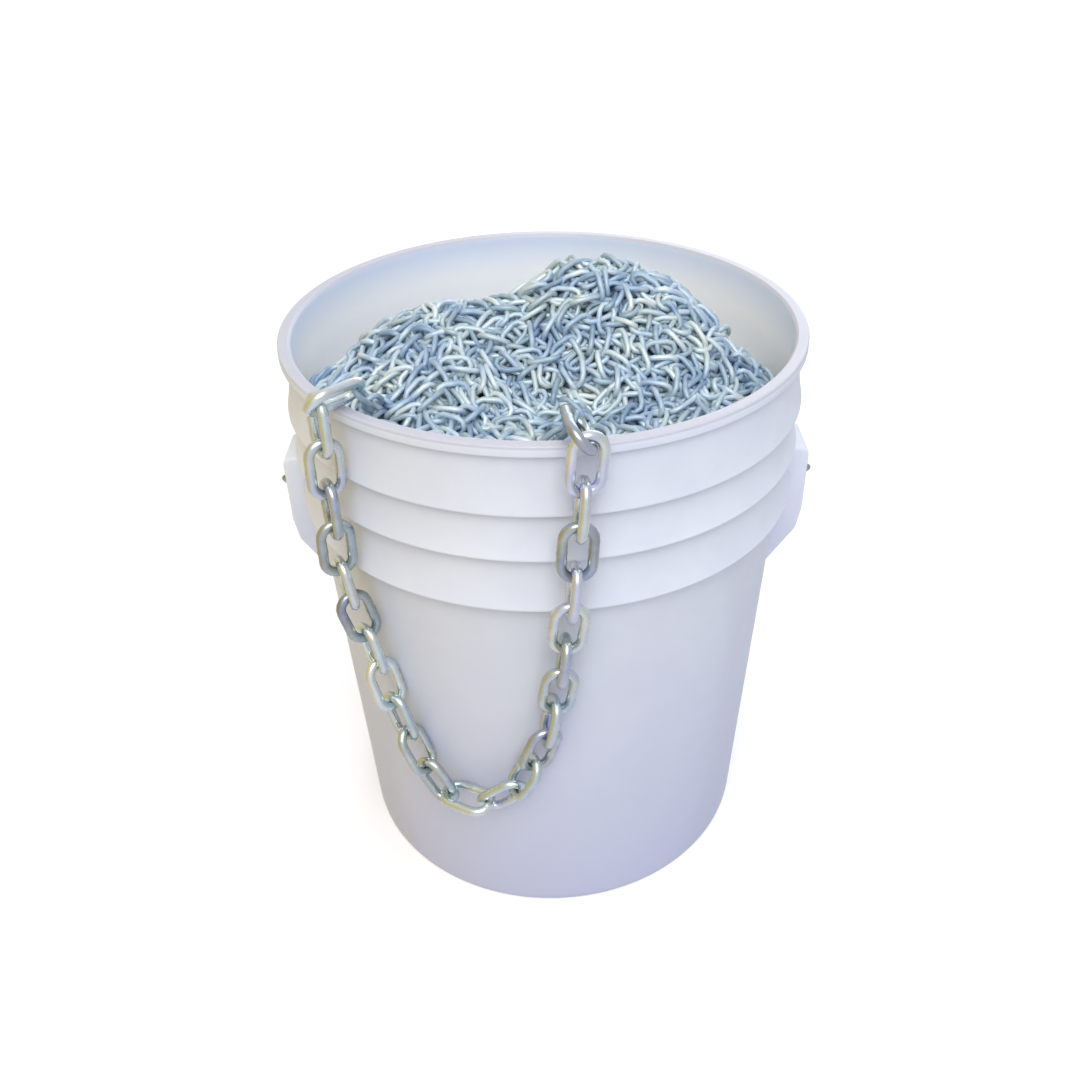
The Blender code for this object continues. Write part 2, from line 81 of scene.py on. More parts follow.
def linear(colour: str) -> tuple[float, float, float, float]:
    """Turns an sRGB hex colour into linear values.

    Args:
        colour: Six hex digits after a hash.

    Returns:
        Red, green, blue and an alpha of one.
    """
    parts = [int(colour[i:i + 2], 16) / 255 for i in (1, 3, 5)]
    channels = [c / 12.92 if c <= 0.04045 else ((c + 0.055) / 1.055) ** 2.4 for c in parts]
    return channels[0], channels[1], channels[2], 1.0


def set_inputs(tree: NodeTree, node: Node, inputs: dict) -> None:
    """Links or sets the inputs of a node.

    Args:
        tree: Node tree with the node.
        node: Node that takes them.
        inputs: Values, hex colours or output sockets by input name or index.
    """
    for name, value in inputs.items():
        if isinstance(value, NodeSocket):
            tree.links.new(value, node.inputs[name])
        else:
            node.inputs[name].default_value = linear(value) if isinstance(value, str) else value


def add_node(tree: NodeTree, kind: str, inputs: dict | None = None, **settings: str) -> Node:
    """Adds a shader node with its inputs and its settings.

    Args:
        tree: Node tree that takes the node.
        kind: Blender's name for the node's type.
        inputs: Values, hex colours or output sockets by input name or index.
        settings: Properties of the node by name.

    Returns:
        The new node.
    """
    node = tree.nodes.new(kind)
    for name, value in settings.items():
        setattr(node, name, value)
    set_inputs(tree, node, inputs or {})
    return node


def fade(tree: NodeTree, value: NodeSocket, span: tuple[float, float],
         one: str | NodeSocket, two: str | NodeSocket) -> NodeSocket:
    """Turns one colour into another as a value goes from the start of a span to its end.

    Args:
        tree: Node tree that takes the nodes.
        value: Socket with the value.
        span: Start and end of the span.
        one: Colour up to its start, in hex or as a socket.
        two: Colour past its end.

    Returns:
        The socket with the colour.
    """
    share = add_node(tree, "ShaderNodeMapRange", {"Value": value, "From Min": span[0], "From Max": span[1]})
    return add_node(tree, "ShaderNodeMix", {"Factor": share.outputs["Result"], 6: one, 7: two},
                    data_type="RGBA").outputs[2]


def new_material(name: str) -> tuple[Material, NodeTree, Node, NodeSocket]:
    """Starts a material.

    Args:
        name: Name of the finish.

    Returns:
        The material, its tree, its Principled node and the socket with the place on the object.
    """
    material = bpy.data.materials.new(name)
    material.use_nodes = True
    tree = material.node_tree
    place = add_node(tree, "ShaderNodeTexCoord").outputs["Object"]
    return material, tree, tree.nodes["Principled BSDF"], place


@dataclass(frozen=True)
class PailPolyethylene:
    """High-density polyethylene, injection moulded: milky white, satin, a little light passes in.

    The inside is painted paler than the outside, whitest low down by the heap: painted light where the
    inner wall lies in shade. The top of the rim is painted darker: painted shade. The outside wall is
    painted darker towards the base: painted shade. The mould's own grain is too fine to show, so it is drawn
    1.6 mm wide.
    """

    colour: str = "#DBDFE7"
    scuffed: str = "#D6DAE4"
    # painted shade: the outside wall darkens towards the base, from the colour below up to the height below
    painted_shade_low: str = "#BEC2DB"
    painted_shade_height: float = 0.28
    # painted light: the inside is whitest low down by the heap and bluer towards the rim, across the heights
    # below
    inside: str = "#FCFCFC"
    inside_near_rim: str = "#DAE2F0"
    inside_light_heights: tuple[float, float] = (0.332, 0.356)
    # painted shade: the top of the rim is darker, above the heights below
    rim: str = "#BEC0CA"
    rim_shade_start: tuple[float, float] = (0.3588, 0.3598)
    middle_radius: float = 0.1307
    middle_slope: float = 0.0461
    wall_change: tuple[float, float] = (-0.0004, 0.0004)
    roughness: float = 0.38
    milk_depth: float = 0.005
    scuff_mm: float = 45.0
    grain_mm: float = 1.6

    def material(self) -> Material:
        """Builds the material."""
        material, tree, shader, place = new_material("moulded_polyethylene_white")
        scuff = add_node(tree, "ShaderNodeTexNoise",
                         {"Vector": place, "Scale": 1000 / self.scuff_mm, "Detail": 5.0, "Roughness": 0.6})
        clean = fade(tree, scuff.outputs["Fac"], (0.38, 0.62), self.scuffed, self.colour)
        parts = add_node(tree, "ShaderNodeSeparateXYZ", {"Vector": place})
        height = parts.outputs["Z"]
        # painted shade: the outside wall darkens towards the base
        outer = fade(tree, height, (0.0, self.painted_shade_height), self.painted_shade_low, clean)
        # painted light: the inside pales towards the heap, where it lies in shade
        inner = fade(tree, height, self.inside_light_heights, self.inside, self.inside_near_rim)
        wall = fade(tree, self.wall_depth(tree, parts), self.wall_change, outer, inner)
        # painted shade: the top of the rim darkens
        shade = fade(tree, height, self.rim_shade_start, wall, self.rim)
        gloss = add_node(tree, "ShaderNodeMapRange",
                         {"Value": scuff.outputs["Fac"], "From Min": 0.3, "From Max": 0.7,
                          "To Min": self.roughness + 0.08, "To Max": self.roughness - 0.04})
        grain = add_node(tree, "ShaderNodeTexNoise",
                         {"Vector": place, "Scale": 1000 / self.grain_mm, "Detail": 2.0})
        bump = add_node(tree, "ShaderNodeBump",
                        {"Height": grain.outputs["Fac"], "Strength": 0.08, "Distance": 0.0002})
        set_inputs(tree, shader, {"Base Color": shade, "Roughness": gloss.outputs["Result"],
                                  "Normal": bump.outputs["Normal"], "IOR": 1.54, "Subsurface Weight": 0.6,
                                  "Subsurface Radius": (0.9, 0.9, 1.0), "Subsurface Scale": self.milk_depth})
        return material

    def wall_depth(self, tree: NodeTree, parts: Node) -> NodeSocket:
        """Measures how far a place lies inwards from the middle of the wall.

        Args:
            tree: Node tree of the material.
            parts: Node with the place on the object, split in three.

        Returns:
            The socket with the distance, which is below 0 on the outside.
        """
        flat = add_node(tree, "ShaderNodeCombineXYZ", {"X": parts.outputs["X"], "Y": parts.outputs["Y"]})
        radius = add_node(tree, "ShaderNodeVectorMath", {0: flat.outputs["Vector"]}, operation="LENGTH")
        middle = add_node(tree, "ShaderNodeMath", {0: parts.outputs["Z"], 1: self.middle_slope,
                                                   2: self.middle_radius}, operation="MULTIPLY_ADD")
        depth = add_node(tree, "ShaderNodeMath", {0: middle.outputs["Value"], 1: radius.outputs["Value"]},
                         operation="SUBTRACT")
        return depth.outputs["Value"]


@dataclass(frozen=True)
class GripPlastic:
    """White plastic of the hand grip, moulded, with a faint length-wise grain."""

    colour: str = "#ECECEE"
    shaded: str = "#E2E2E6"
    roughness: float = 0.42
    grain_mm: float = 2.0

    def material(self) -> Material:
        """Builds the material."""
        material, tree, shader, place = new_material("moulded_grip_white")
        grain = add_node(tree, "ShaderNodeTexNoise",
                         {"Vector": place, "Scale": 1000 / self.grain_mm, "Detail": 3.0})
        shade = fade(tree, grain.outputs["Fac"], (0.3, 0.7), self.shaded, self.colour)
        bump = add_node(tree, "ShaderNodeBump",
                        {"Height": grain.outputs["Fac"], "Strength": 0.1, "Distance": 0.0002})
        set_inputs(tree, shader, {"Base Color": shade, "Normal": bump.outputs["Normal"],
                                  "Roughness": self.roughness})
        return material


@dataclass(frozen=True)
class GalvanisedWire:
    """Drawn steel wire, zinc dipped: mid grey, dull, with the patches of zinc crystals a few mm wide."""

    light: str = "#AEB0B2"
    dark: str = "#929597"
    roughness: float = 0.38
    spangle_mm: float = 5.0

    def material(self) -> Material:
        """Builds the material."""
        material, tree, shader, place = new_material("galvanised_steel_wire")
        spangle = add_node(tree, "ShaderNodeTexVoronoi", {"Vector": place, "Scale": 1000 / self.spangle_mm})
        shade = fade(tree, spangle.outputs["Color"], (0.2, 0.8), self.dark, self.light)
        set_inputs(tree, shader, {"Base Color": shade, "Metallic": 1.0, "Roughness": self.roughness})
        return material


@dataclass(frozen=True)
class ZincPlate:
    """Bright zinc plating on welded steel: blue-white, each link its own tone, slightly uneven."""

    name: str
    pale: str
    middle: str
    deep: str
    tints: tuple[str, str, str]
    roughness: float
    metallic: float
    stain_mm: float = 9.0
    patch_mm: float = 38.0

    def material(self) -> Material:
        """Builds the material; the attribute tone holds a value from 0 to 1 for each link."""
        material, tree, shader, place = new_material(self.name)
        tone = add_node(tree, "ShaderNodeAttribute", attribute_name="tone").outputs["Fac"]
        stain = add_node(tree, "ShaderNodeTexNoise",
                         {"Vector": place, "Scale": 1000 / self.stain_mm, "Detail": 4.0, "Roughness": 0.55})
        both = add_node(tree, "ShaderNodeMath", {0: stain.outputs["Fac"], 1: 0.7, 2: tone},
                        operation="MULTIPLY_ADD")
        shade = fade(tree, both.outputs["Value"], (0.15, 0.78), self.deep, self.middle)
        shade = fade(tree, both.outputs["Value"], (0.78, 1.55), shade, self.pale)
        patch = add_node(tree, "ShaderNodeTexNoise",
                         {"Vector": place, "Scale": 1000 / self.patch_mm, "Detail": 2.0, "Roughness": 0.6})
        tint = fade(tree, patch.outputs["Fac"], (0.36, 0.50), self.tints[0], self.tints[1])
        tint = fade(tree, patch.outputs["Fac"], (0.50, 0.64), tint, self.tints[2])
        mix = add_node(tree, "ShaderNodeMix", {"Factor": 1.0, 6: shade, 7: tint},
                       data_type="RGBA", blend_type="MULTIPLY")
        gloss = add_node(tree, "ShaderNodeMapRange",
                         {"Value": stain.outputs["Fac"], "From Min": 0.3, "From Max": 0.7,
                          "To Min": self.roughness + 0.10, "To Max": self.roughness - 0.04})
        set_inputs(tree, shader, {"Base Color": mix.outputs[2], "Roughness": gloss.outputs["Result"],
                                  "Metallic": self.metallic})
        return material


@dataclass(frozen=True)
class PaintedShadeSteel:
    """Steel deep between the links, darkened with painted shade where little light comes: slate with a blue
    cast.
    """

    # painted shade: both tones stand in for the shade deep in the heap
    colour: str = "#8093A1"
    dark: str = "#566875"
    mottle_mm: float = 8.333

    def material(self) -> Material:
        """Builds the material."""
        material, tree, shader, place = new_material("painted_shade_deep_steel")
        mottle = add_node(tree, "ShaderNodeTexNoise",
                          {"Vector": place, "Scale": 1000 / self.mottle_mm, "Detail": 3.0})
        shade = fade(tree, mottle.outputs["Fac"], (0.3, 0.7), self.dark, self.colour)
        set_inputs(tree, shader, {"Base Color": shade, "Roughness": 0.6, "Metallic": 0.6})
        return material


def add_object(name: str, data: ID) -> Object:
    """Puts a mesh, a light or a camera in the scene."""
    item = bpy.data.objects.new(name, data)
    bpy.context.scene.collection.objects.link(item)
    return item


def finished_piece(name: str, mesh: Mesh, material: Material, body: Body,
                   nodes: Sequence[str]) -> Object:
    """Puts a finished mesh in the scene as a piece of the object.

    Args:
        name: Name of the piece.
        mesh: Mesh with its place in it.
        material: Finish of the piece.
        body: Body that it rides on.
        nodes: CAD nodes that it stands for.

    Returns:
        The new object.
    """
    mesh.materials.clear()
    mesh.materials.append(material)
    piece = add_object(name, mesh)
    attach(piece, body.value)
    if nodes:
        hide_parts(*nodes)
    log.info("%s: %d faces, %s", name, len(mesh.polygons), body.value)
    return piece


def mesh_from(bm: BMesh, name: str, sharp: float | None = None) -> Mesh:
    """Makes a mesh of a bmesh, shaded smooth.

    Args:
        bm: Shape, which is freed.
        name: Name of the mesh.
        sharp: Angle in degrees past which an edge stays sharp.

    Returns:
        The mesh.
    """
    mesh = bpy.data.meshes.new(name)
    bm.to_mesh(mesh)
    bm.free()
    mesh.shade_smooth()
    if sharp is not None:
        mesh.set_sharp_from_angle(angle=math.radians(sharp))
    return mesh


def rounded_outline(corners: Sequence[tuple[float, float, float]],
                    steps: int = 4) -> list[tuple[float, float]]:
    """Rounds the corners of an open outline.

    Args:
        corners: Two coordinates of each corner and the radius of its round, 0 for a sharp one.
        steps: Pieces of each round.

    Returns:
        The outline with arcs in place of its corners.
    """
    points = [corner[:2] for corner in corners]
    outline = [points[0]]
    for before, corner, after, (_, _, radius) in zip(points, points[1:], points[2:], corners[1:]):
        c = Vector(corner)
        back, on = Vector(before) - c, Vector(after) - c
        angle = back.angle(on)
        if radius <= 0 or angle > math.radians(STRAIGHT_FROM_DEGREES):
            outline.append(corner)
            continue
        longest = min(back.length, on.length) * ROUND_SHARE_OF_SIDE
        reach = min(radius / math.tan(angle / 2), longest)
        start, end = c + back.normalized() * reach, c + on.normalized() * reach
        for i in range(steps + 1):
            t = i / steps
            point = start * (1 - t) ** 2 + c * 2 * t * (1 - t) + end * t * t
            outline.append((point.x, point.y))
    return outline + [points[-1]]


def turned(outline: Sequence[tuple[float, float]], steps: int) -> BMesh:
    """Spins a closed outline of radius and height once round Z.

    Args:
        outline: Radius and height of each point. The last one joins the first.
        steps: Number of facets round.

    Returns:
        The turned shape, with its normals outwards.
    """
    bm = bmesh.new()
    verts = [bm.verts.new((radius, 0.0, z)) for radius, z in outline]
    for pair in zip(verts, verts[1:] + verts[:1]):
        bm.edges.new(pair)
    bmesh.ops.spin(bm, geom=bm.verts[:] + bm.edges[:], cent=(0, 0, 0), axis=(0, 0, 1), dvec=(0, 0, 0),
                   angle=math.tau, steps=steps, use_merge=True, use_duplicate=False)
    bmesh.ops.remove_doubles(bm, verts=bm.verts, dist=0.00001)
    bmesh.ops.recalc_face_normals(bm, faces=bm.faces)
    return bm


def only(items: Iterable, kind: type) -> list:
    """Picks the vertices or the edges from what an operator gives back."""
    return [item for item in items if isinstance(item, kind)]


def grown_ring(bm: BMesh, edges: list) -> tuple[list, list]:
    """Extrudes an open section and returns its new edges and vertices."""
    grown = bmesh.ops.extrude_edge_only(bm, edges=edges)["geom"]
    ring = only(grown, BMVert)
    new = set(ring)
    return [edge for edge in only(grown, BMEdge) if new.issuperset(edge.verts)], ring


def swept_wire(points: Sequence[Vector], radius: float, sides: int) -> BMesh:
    """Draws a round wire along points by extruding its section from one to the next.

    Args:
        points: Centre line of the wire.
        radius: Radius of the wire.
        sides: Facets round the wire.

    Returns:
        The wire with closed ends.
    """
    bm = bmesh.new()
    last = len(points) - 1
    ways = [(points[min(i + 1, last)] - points[max(i - 1, 0)]).normalized() for i in range(last + 1)]
    turn = Vector((0, 0, 1)).rotation_difference(ways[0]).to_matrix().to_4x4()
    ring = bmesh.ops.create_circle(bm, cap_ends=True, segments=sides, radius=radius,
                                   matrix=Matrix.Translation(points[0]) @ turn)["verts"]
    edges = list({edge for vert in ring for edge in vert.link_edges})
    for here, there, way, following in zip(points, points[1:], ways, ways[1:]):
        edges, ring = grown_ring(bm, edges)
        bend = way.rotation_difference(following).to_matrix()
        bmesh.ops.rotate(bm, verts=ring, cent=here, matrix=bend)
        bmesh.ops.translate(bm, verts=ring, vec=there - here)
    bmesh.ops.contextual_create(bm, geom=edges)
    bmesh.ops.recalc_face_normals(bm, faces=bm.faces)
    return bm


@dataclass
class Pail:
    """Moulded pail with its rolled rim, three flared stacking ribs and two bail ears."""

    height: float = 0.361
    rim_radius: float = 0.1515
    rim_width: float = 0.0075
    rim_land: float = 0.0030
    rim_round: float = 0.0020
    lip_depth: float = 0.0060
    lip_width: float = 0.0012
    lip_rounds: tuple[float, float] = (0.0006, 0.0002)
    wall_top_z: float = 0.2605
    wall_top_radius: float = 0.1440
    base_radius: float = 0.1320
    base_corner: float = 0.010
    base_spread: float = 0.0002
    wall_rings: tuple[float, float, float] = (0.20, 0.13, 0.06)
    wall: float = 0.0023
    floor: float = 0.0028
    ribs: tuple = ((0.3215, 0.1512, 0.1478), (0.2945, 0.1510, 0.1470), (0.2625, 0.1505, 0.1458))
    rib_edge: float = 0.0012
    rib_rounds: tuple[float, float, float] = (0.0008, 0.0006, 0.0005)
    band_steps: int = 9
    band_flare: float = 2.5
    fine_round: float = 0.0015
    round_steps: int = 5
    ear_face_x: float = 0.1610
    ear_outline: tuple = ((0.1429, 0.2815), (0.1565, 0.2810), (0.1600, 0.2795), (0.1610, 0.2760),
                          (0.1610, 0.2370), (0.1585, 0.2220), (0.1425, 0.1980), (0.1392, 0.1970))
    ear_half_width: float = 0.0170
    ear_free_x: float = 0.1424
    ear_round: float = 0.0014
    bail_axis_z: float = 0.2580
    hole_radius: float = 0.0026
    hole_depth: float = 0.0110
    plug_length: float = 0.0210
    hole_sides: int = 24
    steps: int = 144
    sharp_from: float = 34.0

    def wall_radius(self, z: float) -> float:
        """Outer radius of the tapered wall at a height."""
        return self.base_radius + (self.wall_top_radius - self.base_radius) * z / self.wall_top_z

    def inner_radius(self, z: float) -> float:
        """Radius of the inside at a height."""
        if z <= self.wall_top_z:
            return self.wall_radius(z) - self.wall
        share = (z - self.wall_top_z) / (self.height - self.wall_top_z)
        top = self.rim_radius - self.rim_width
        start = self.wall_top_radius - self.wall
        return start + (top - start) * share

    def outside(self) -> list[tuple[float, float]]:
        """Outline of the outside, from the rim's top down to the middle of the base."""
        rim, top, under = self.rim_radius, self.height, self.height - self.lip_depth
        at_face, at_wall = self.lip_rounds
        corners = [(rim - self.rim_land, top, 0.0), (rim, top, self.rim_round),
                   (rim, under, at_face), (rim - self.lip_width, under, at_wall)]
        at_start, over_edge, under_edge = self.rib_rounds
        band_top = under - at_face
        for edge_z, edge_radius, start_radius in self.ribs:
            for i in range(self.band_steps):
                t = i / self.band_steps
                corners.append((start_radius + (edge_radius - start_radius) * t ** self.band_flare,
                                band_top + (edge_z + self.rib_edge - band_top) * t,
                                at_start if i == 0 else 0.0))
            corners += [(edge_radius, edge_z + self.rib_edge, over_edge), (edge_radius, edge_z, under_edge)]
            band_top = edge_z - self.rib_edge
        corners.append((self.wall_top_radius, self.wall_top_z, self.fine_round))
        corners += [(self.wall_radius(z), z, 0.0) for z in self.wall_rings]
        corners += [(self.base_radius + self.base_spread, 0.0, self.base_corner), (0.0, 0.0, 0.0)]
        return rounded_outline(corners, self.round_steps)

    def inside(self) -> list[tuple[float, float]]:
        """Outline of the inside, from the middle of the floor up to the rim's top."""
        top, below = self.height, self.height - self.fine_round
        corners = [(0.0, self.floor, 0.0), (self.inner_radius(0.0), self.floor, self.base_corner),
                   (self.inner_radius(self.wall_top_z), self.wall_top_z, 0.0),
                   (self.inner_radius(below), below, self.fine_round),
                   (self.inner_radius(top) + self.fine_round, top, 0.0)]
        return rounded_outline(corners, self.round_steps)

    def ear(self, side: int) -> BMesh:
        """One bail ear with its rounded edges.

        Args:
            side: +1 for the ear at +X and -1 for the one at -X.

        Returns:
            The ear, let into the wall.
        """
        bm = bmesh.new()
        verts = [bm.verts.new((x, -self.ear_half_width, z)) for x, z in self.ear_outline]
        bm.faces.new(verts)
        grown = bmesh.ops.extrude_face_region(bm, geom=bm.faces[:])["geom"]
        bmesh.ops.translate(bm, verts=only(grown, BMVert), vec=(0, 2 * self.ear_half_width, 0))
        free = [edge for edge in bm.edges if min(vert.co.x for vert in edge.verts) > self.ear_free_x]
        bmesh.ops.bevel(bm, geom=free, offset=self.ear_round, offset_type="OFFSET", affect="EDGES",
                        segments=3, profile=0.5, material=-1, clamp_overlap=True)
        if side < 0:
            bmesh.ops.rotate(bm, verts=bm.verts, cent=(0, 0, 0), matrix=Matrix.Rotation(math.pi, 3, "Z"))
        bmesh.ops.recalc_face_normals(bm, faces=bm.faces)
        return bm

    def hole(self, side: int) -> BMesh:
        """Plug that cuts the blind hole for the end of the bail."""
        bm = bmesh.new()
        middle = side * (self.ear_face_x - self.hole_depth + self.plug_length / 2)
        place = Matrix.Translation((middle, 0.0, self.bail_axis_z)) @ Matrix.Rotation(math.pi / 2, 4, "Y")
        bmesh.ops.create_cone(bm, cap_ends=True, segments=self.hole_sides, radius1=self.hole_radius,
                              radius2=self.hole_radius, depth=self.plug_length, matrix=place)
        return bm

    def build(self, material: Material) -> Object:
        """Builds the pail as one moulding.

        Args:
            material: Its plastic.

        Returns:
            The pail.
        """
        mesh = mesh_from(turned(self.outside() + self.inside(), self.steps), "pail_moulding")
        piece = finished_piece("pail_moulding", mesh, material, Body.PAIL, ["pail"])
        tools = []
        for side, word in ((1, "right"), (-1, "left")):
            for shape, operation in ((self.ear(side), "UNION"), (self.hole(side), "DIFFERENCE")):
                tool = add_object("tool_" + word, mesh_from(shape, "tool_" + word))
                cut = piece.modifiers.new(operation.title(), "BOOLEAN")
                cut.operation, cut.object, cut.solver = operation, tool, "EXACT"
                tools.append(tool)
        apply_modifiers(piece, tools)
        piece.data.shade_smooth()
        piece.data.set_sharp_from_angle(angle=math.radians(self.sharp_from))
        return piece


def apply_modifiers(piece: Object, tools: Sequence[Object] = ()) -> None:
    """Fixes the modifiers of a piece in its mesh and removes the tools that they used.

    Args:
        piece: Object with modifiers.
        tools: Helper objects to remove.
    """
    bpy.context.view_layer.update()
    graph = bpy.context.evaluated_depsgraph_get()
    mesh = bpy.data.meshes.new_from_object(piece.evaluated_get(graph))
    mesh.name = piece.data.name
    piece.modifiers.clear()
    piece.data = mesh
    for tool in tools:
        bpy.data.objects.remove(tool, do_unlink=True)


@dataclass
class Bail:
    """Bent wire bail, hanging behind the pail, with its hand grip."""

    axis_z: float = 0.2580
    wire_radius: float = 0.0020
    side_x: float = 0.1665
    reach: float = 0.2000
    corner: float = 0.1200
    corner_steps: int = 16
    bend: float = 0.0050
    bend_steps: int = 6
    tip_x: float = 0.1510
    wire_sides: int = 14
    grip_radius: float = 0.0100
    grip_length: float = 0.0920
    grip_play: float = 0.0003
    grip_step: float = 0.0006
    grip_round: float = 0.0012
    grip_sides: int = 40
    grooves: int = 6
    groove_depth: float = 0.0004
    groove_steps: int = 36
    sharp_from: float = 50.0

    def place(self) -> Matrix:
        """Turns the bail's own plane, X and reach along Y, to where it hangs in the frame."""
        low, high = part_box("bail_grip")
        middle = [(a + b) / 2 for a, b in zip(low, high)]
        angle = math.atan2(middle[2] - self.axis_z, middle[1])
        return Matrix.Translation((0, 0, self.axis_z)) @ Matrix.Rotation(angle, 4, "X")

    def centre_line(self) -> list[Vector]:
        """Centre line of the wire from one end to the other, in the frame."""
        half = [(self.tip_x, 0.0), (self.side_x - self.bend, 0.0)]
        for i in range(1, self.bend_steps + 1):
            turn = math.radians(90 * i / self.bend_steps)
            half.append((self.side_x - self.bend * (1 - math.sin(turn)), self.bend * (1 - math.cos(turn))))
        straight = self.reach - self.corner
        half.append((self.side_x, straight / 2))
        for i in range(self.corner_steps + 1):
            turn = math.radians(90 * i / self.corner_steps)
            half.append((self.side_x - self.corner * (1 - math.cos(turn)),
                         straight + self.corner * math.sin(turn)))
        flat = half + [(-x, reach) for x, reach in reversed(half)]
        place = self.place()
        return [place @ Vector((x, reach, 0.0)) for x, reach in flat]

    def build_wire(self, material: Material) -> Object:
        """Builds the wire."""
        wire = swept_wire(self.centre_line(), self.wire_radius, self.wire_sides)
        mesh = mesh_from(wire, "bail_wire_bent", self.sharp_from)
        return finished_piece("bail_wire_bent", mesh, material, Body.BAIL, ["bail_wire"])

    def build_grip(self, material: Material) -> Object:
        """Builds the grip: a sleeve with shallow finger grooves and rounded ends."""
        half, inner = self.grip_length / 2, self.wire_radius + self.grip_play
        end_radius = self.grip_radius - self.grip_step
        corners = [(inner, half, 0.0), (end_radius, half, self.grip_round)]
        for i in range(1, self.groove_steps):
            share = i / self.groove_steps
            groove = self.groove_depth * (1 - math.cos(math.tau * share * self.grooves)) / 2
            corners.append((self.grip_radius - groove, half - self.grip_length * share, 0.0))
        corners += [(end_radius, -half, self.grip_round), (inner, -half, 0.0)]
        bm = turned(rounded_outline(corners), self.grip_sides)
        along_x = Matrix.Rotation(math.pi / 2, 4, "Y")
        bm.transform(self.place() @ Matrix.Translation((0, self.reach, 0)) @ along_x)
        mesh = mesh_from(bm, "bail_grip_sleeve", self.sharp_from)
        return finished_piece("bail_grip_sleeve", mesh, material, Body.BAIL, ["bail_grip"])


@dataclass(frozen=True)
class LinkShape:
    """One welded link: round wire bent to an oval, long way along X, flat in the XY plane."""

    wire: float = 0.0055
    pitch: float = 0.0246
    inside_width: float = 0.0102
    gap: float = 0.0003
    weld_places: tuple = (0.36, 0.44, 0.50, 0.56, 0.64, 1.0)
    weld_half: float = 0.07
    weld_crest: float = 0.01
    weld_shoulder: float = 0.7

    @property
    def crown(self) -> float:
        """Radius of the centre line at the link's ends."""
        return (self.inside_width + self.wire) / 2

    @property
    def straight(self) -> float:
        """Length of each straight leg."""
        return self.pitch + self.wire + self.gap - 2 * self.crown

    def centre_line(self, count: int) -> np.ndarray:
        """Points spaced evenly along the centre line, an even number of them, as an array."""
        arc = math.pi * self.crown
        points = []
        for end in (1, -1):
            for i in range(count // 2):
                way = 2 * (arc + self.straight) * i / count
                turn = way / self.crown - math.pi / 2
                x = self.straight / 2 + (self.crown * math.cos(turn) if way < arc else arc - way)
                y = self.crown * (math.sin(turn) if way < arc else 1.0)
                points.append((end * x, end * y, 0.0))
        return np.array(points)

    def shape(self, sides: int, crown_steps: int, weld: float = 0.0) -> BMesh:
        """Bends a ring of the wire's section round the link.

        Args:
            sides: Facets round the wire.
            crown_steps: Facets along each end.
            weld: How far the weld bead swells the middle of one leg, as a share of the wire.

        Returns:
            The closed link.
        """
        bm = bmesh.new()
        start = (Matrix.Translation((-self.straight / 2, -self.crown, 0.0))
                 @ Matrix.Rotation(math.pi / 2, 4, "Y"))
        bmesh.ops.create_circle(bm, cap_ends=False, segments=sides, radius=self.wire / 2, matrix=start)
        section = bm.edges[:]
        for end in (1, -1):
            stages = self.weld_places if weld and end > 0 else (1.0,)
            before = 0.0
            for share in stages:
                section, ring = grown_ring(bm, section)
                bmesh.ops.translate(bm, verts=ring, vec=(end * self.straight * (share - before), 0, 0))
                before = share
            turned_part = bmesh.ops.spin(bm, geom=section, cent=(end * self.straight / 2, 0, 0),
                                         axis=(0, 0, 1), dvec=(0, 0, 0), angle=math.pi, steps=crown_steps,
                                         use_merge=False, use_duplicate=False)["geom_last"]
            section = only(turned_part, BMEdge)
        if weld:
            self._swell(bm, weld)
        bmesh.ops.remove_doubles(bm, verts=bm.verts, dist=0.00002)
        bmesh.ops.recalc_face_normals(bm, faces=bm.faces)
        return bm

    def _swell(self, bm: BMesh, weld: float) -> None:
        """Swells the middle of the leg at -Y into a weld bead."""
        for vert in bm.verts:
            if vert.co.y < -self.crown / 2 and abs(vert.co.x) < self.straight * self.weld_half:
                out = Vector((0.0, vert.co.y + self.crown, vert.co.z))
                on_crest = abs(vert.co.x) < self.straight * self.weld_crest
                vert.co += out * (weld if on_crest else weld * self.weld_shoulder)


@dataclass(frozen=True)
class Pose:
    """Where a link lies: its middle, its long direction and the direction that it faces."""

    middle: Vector
    along: Vector
    normal: Vector

    def matrix(self) -> Matrix:
        """Matrix that takes the link's own shape there."""
        matrix = Matrix((self.along, self.normal.cross(self.along), self.normal)).transposed().to_4x4()
        matrix.translation = self.middle
        return matrix


def pose_of_node(name: str) -> Pose:
    """Reads a link's place from its CAD node.

    Args:
        name: Node of the frame.

    Returns:
        The place, from the node's middle and its long and short directions.
    """
    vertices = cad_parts[name].data.vertices
    flat = np.empty(len(vertices) * 3)
    vertices.foreach_get("co", flat)
    points = np.unique(np.round(flat.reshape(-1, 3), 6), axis=0)
    middle = points.mean(axis=0)
    _, axes = np.linalg.eigh(np.cov((points - middle).T))
    normal, along = Vector(axes[:, 0]), Vector(axes[:, 2])
    return Pose(Vector(middle), along.normalized(), normal.normalized())


def with_tone(mesh: Mesh, tones: np.ndarray) -> None:
    """Stores a tone for each vertex, which the plating reads."""
    layer = mesh.attributes.new("tone", "FLOAT", "POINT")
    layer.data.foreach_set("value", tones.astype(np.float32))


@dataclass
class HangingLoop:
    """Separate links that hang from the rim in a loop, and the two that lie over the rim."""

    link: LinkShape
    count: int = 23
    sides: int = 14
    crown_steps: int = 10
    weld: float = 0.09

    def build(self, material: Material, rng: np.random.Generator) -> None:
        """Builds every link where its CAD node is.

        Args:
            material: Plating of the links.
            rng: Source of each link's tone.
        """
        names = ["loop_link_{:02d}".format(i + 1) for i in range(self.count)]
        names += ["rim_link_front", "rim_link_left"]
        for name in names:
            bm = self.link.shape(self.sides, self.crown_steps, self.weld)
            bm.transform(pose_of_node(name).matrix())
            mesh = mesh_from(bm, name + "_welded")
            with_tone(mesh, np.full(len(mesh.vertices), rng.uniform(0.1, 0.9)))
            finished_piece(name + "_welded", mesh, material, Body.PAIL, [name])


